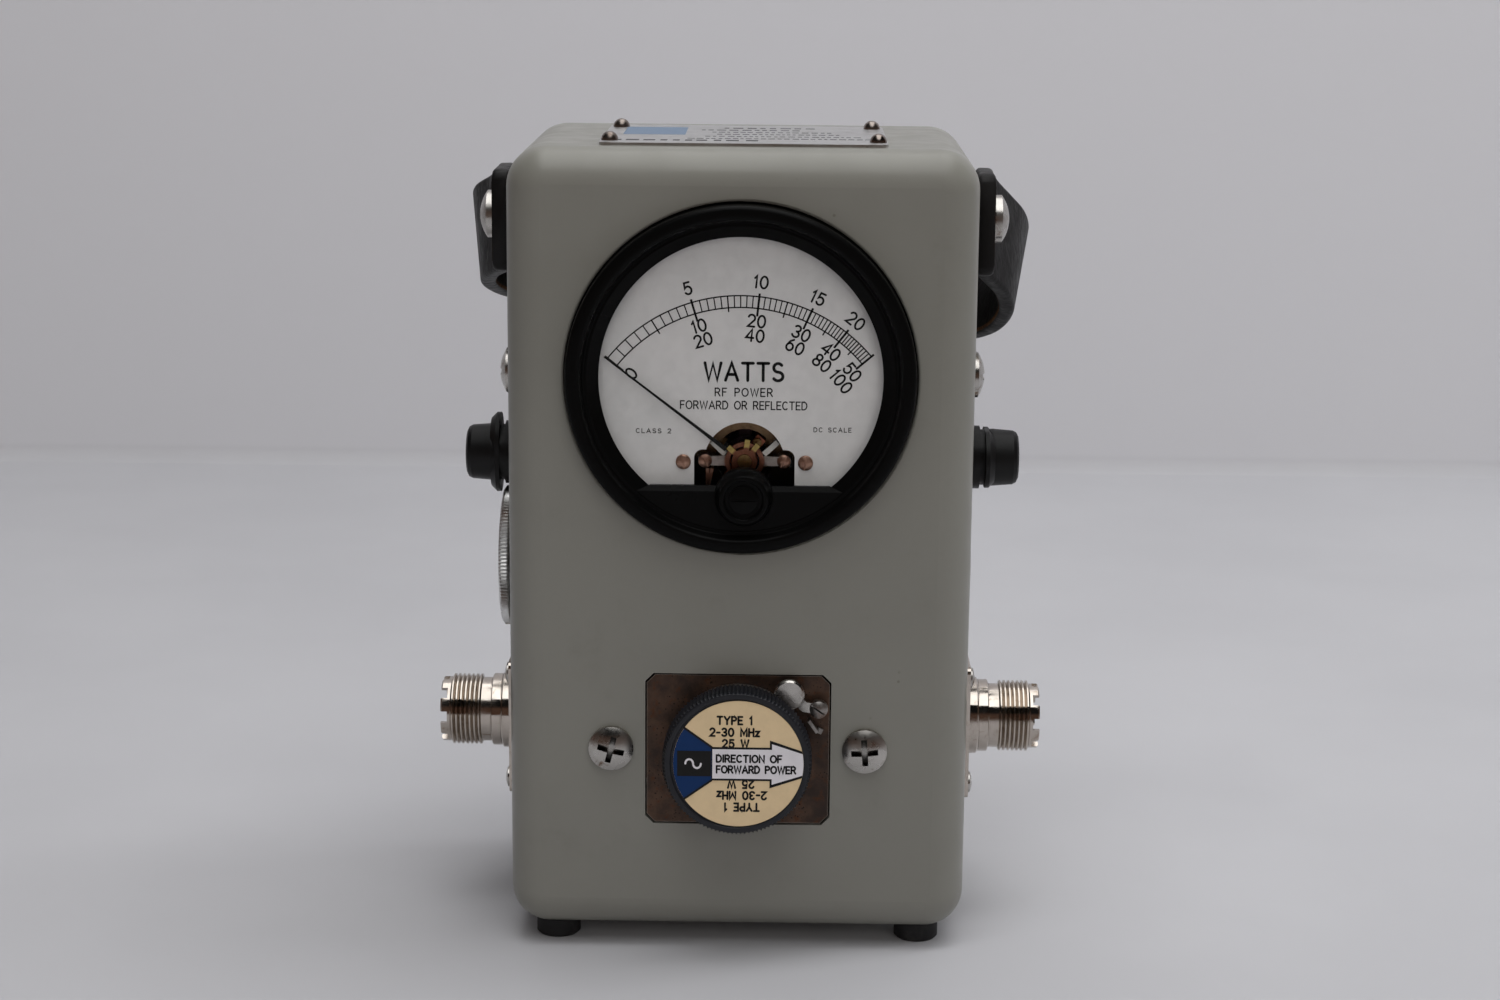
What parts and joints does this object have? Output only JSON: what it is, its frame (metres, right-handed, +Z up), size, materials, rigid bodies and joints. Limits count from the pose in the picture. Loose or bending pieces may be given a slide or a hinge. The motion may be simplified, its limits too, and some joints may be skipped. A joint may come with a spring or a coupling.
{
  "type": "radio frequency wattmeter",
  "caption": "Portable through-line RF wattmeter and SWR meter: cast box, round panel meter, plug-in sensing element, side coaxial ports and leather strap.",
  "frame": {"origin": "bottom centre of the bounding box, on the surface the feet stand on", "axes": "+Z up, the front with the meter faces -Y, +X to the right as seen from the front"},
  "size_m": [0.1342, 0.0988, 0.1775],
  "materials": {
    "housing_paint": "satin baked enamel on a die casting",
    "cover_paint": "satin baked enamel on a die casting",
    "black_moulding": "moulded black plastic",
    "clear_window": "clear window",
    "meter_case_plastic": "black phenolic",
    "dial_enamel": "white printed aluminium",
    "pointer_black": "black painted aluminium",
    "movement_brass": "brass",
    "movement_steel": "soft iron and steel",
    "magnet_iron": "bronzed magnet steel",
    "coil_copper": "copper winding",
    "white_nylon": "white plastic",
    "plated_steel": "nickel plated steel",
    "nickel": "nickel plated brass",
    "tarnished_brass": "tarnished silver plated brass",
    "line_brass": "brass",
    "ptfe": "white fluoropolymer",
    "cable_jacket": "black cable jacket",
    "rubber_black": "black rubber",
    "nameplate_metal": "printed aluminium plate",
    "element_metal": "knurled aluminium",
    "element_knob": "black anodised, knurled",
    "element_label": "cream printed label",
    "knob_plastic": "black phenolic",
    "strap_leather": "black leather, worn"
  },
  "bodies": {
    "instrument": {"housing": "housing_paint", "rear_cover": "cover_paint", "rear_cover_screws": "plated_steel", "rear_bumpers": "rubber_black", "feet": "rubber_black", "foot_screws": "plated_steel", "nameplate": "nameplate_metal", "nameplate_rivets": "plated_steel", "meter_bezel": "black_moulding", "meter_window": "clear_window", "meter_case": "meter_case_plastic", "meter_gasket": "rubber_black", "meter_mounting_band": "plated_steel", "meter_side_screws": "plated_steel", "scale_plate": "dial_enamel", "movement_screws": "movement_brass", "magnet_yoke": "magnet_iron", "magnet_core": "movement_steel", "front_bridge": "movement_steel", "rear_bridge": "movement_brass", "jewel_bearings": "movement_brass", "pointer_stops": "white_nylon", "terminal_studs": "movement_brass", "terminal_nuts_and_lugs": "movement_brass", "line_body": "tarnished_brass", "panel_screws": "plated_steel", "centre_conductor": "line_brass", "line_insulators": "ptfe", "dc_contact_bush": "ptfe", "meter_cable": "cable_jacket", "port_shells": "nickel", "port_insulators": "ptfe", "port_contacts": "nickel", "flange_screws": "plated_steel", "catch_screw": "plated_steel", "catch_spring": "plated_steel", "storage_sockets": "element_metal", "stored_element_body": "element_metal", "stored_element_cap": "element_metal", "knob_spring_washers": "plated_steel", "strap_washers": "plated_steel", "strap_screws": "plated_steel"},
    "pointer": {"pointer": "pointer_black", "balance_weights": "movement_brass", "moving_coil": "coil_copper", "pointer_staffs": "movement_steel", "hairsprings": "movement_brass"},
    "zero_adjuster": {"zero_adjust_screw": "black_moulding"},
    "zero_corrector": {"zero_corrector": "movement_brass"},
    "element": {"element_body": "element_metal", "element_cap": "element_knob", "element_label": "element_label", "coupling_loop": "line_brass"},
    "catch": {"element_catch": "plated_steel"},
    "dc_plunger": {"dc_contact_pin": "line_brass"},
    "left_knob": {"left_turn_knob": "knob_plastic", "left_knob_shaft": "plated_steel"},
    "right_knob": {"right_turn_knob": "knob_plastic", "right_knob_shaft": "plated_steel"},
    "strap": {"carrying_strap": "strap_leather"}
  },
  "joints": [
    {"name": "pointer_swing", "type": "hinge", "parent": "instrument", "child": "pointer", "pos_m": [0.00085, -0.03035, 0.1086], "axis": [0, 1, 0], "range_deg": [0, 101], "stiffness_Nm_per_rad": 0.00002, "springref_deg": -2.86},
    {"name": "zero_adjust", "type": "hinge", "parent": "instrument", "child": "zero_adjuster", "pos_m": [0.00085, -0.04235, 0.10195], "axis": [0, 1, 0], "range_deg": [-40, 40]},
    {"name": "zero_correct", "type": "hinge", "parent": "instrument", "child": "zero_corrector", "pos_m": [0.00085, -0.03435, 0.1086], "axis": [0, 1, 0], "range_deg": [-12.5, 12.5]},
    {"name": "element_turn", "type": "hinge", "parent": "instrument", "child": "element", "pos_m": [0, -0.03835, 0.046], "axis": [0, 1, 0], "continuous": true},
    {"name": "catch_swing", "type": "hinge", "parent": "instrument", "child": "catch", "pos_m": [0.0173, -0.04035, 0.05585], "axis": [0, 1, 0], "range_deg": [0, 35]},
    {"name": "dc_contact_slide", "type": "slide", "parent": "instrument", "child": "dc_plunger", "axis": [0, 0, 1], "range_m": [0, 0.001], "stiffness_N_per_m": 200, "springref_m": -0.001},
    {"name": "left_knob_turn", "type": "hinge", "parent": "instrument", "child": "left_knob", "pos_m": [-0.052, -0.00835, 0.105], "axis": [-1, 0, 0], "range_deg": [0, 90]},
    {"name": "right_knob_turn", "type": "hinge", "parent": "instrument", "child": "right_knob", "pos_m": [0.052, -0.00835, 0.105], "axis": [1, 0, 0], "range_deg": [0, 90]},
    {"name": "strap_swing", "type": "hinge", "parent": "instrument", "child": "strap", "pos_m": [0, -0.00835, 0.158], "axis": [1, 0, 0], "range_deg": [0, 190]}
  ],
  "couplings": [
    {"joint": "zero_correct", "follows": "zero_adjust", "ratio": -0.3}
  ]
}
